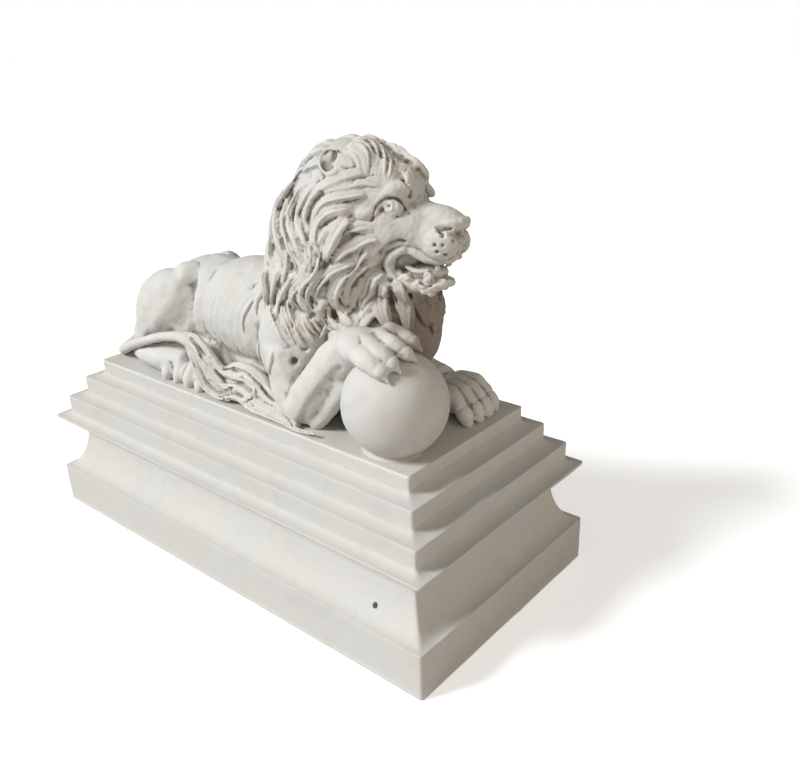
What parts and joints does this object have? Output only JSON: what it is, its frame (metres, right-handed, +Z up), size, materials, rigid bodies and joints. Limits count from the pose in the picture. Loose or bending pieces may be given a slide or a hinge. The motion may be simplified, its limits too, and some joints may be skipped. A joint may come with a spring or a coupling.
{
  "type": "lion with ball statue",
  "caption": "Plaster lion lying on a stepped plinth, head turned to its left and jaws open, its raised right forepaw resting on a ball.",
  "frame": {"origin": "middle of the plinth's underside, on the surface it stands on", "axes": "+X the way the lion lies, from tail to forepaws; +Y to its left; +Z up"},
  "size_m": [0.1988, 0.0962, 0.1565],
  "materials": {
    "plaster": "matt off-white casting plaster"
  },
  "bodies": {
    "root": {"lion_statue": "plaster"}
  },
  "joints": []
}
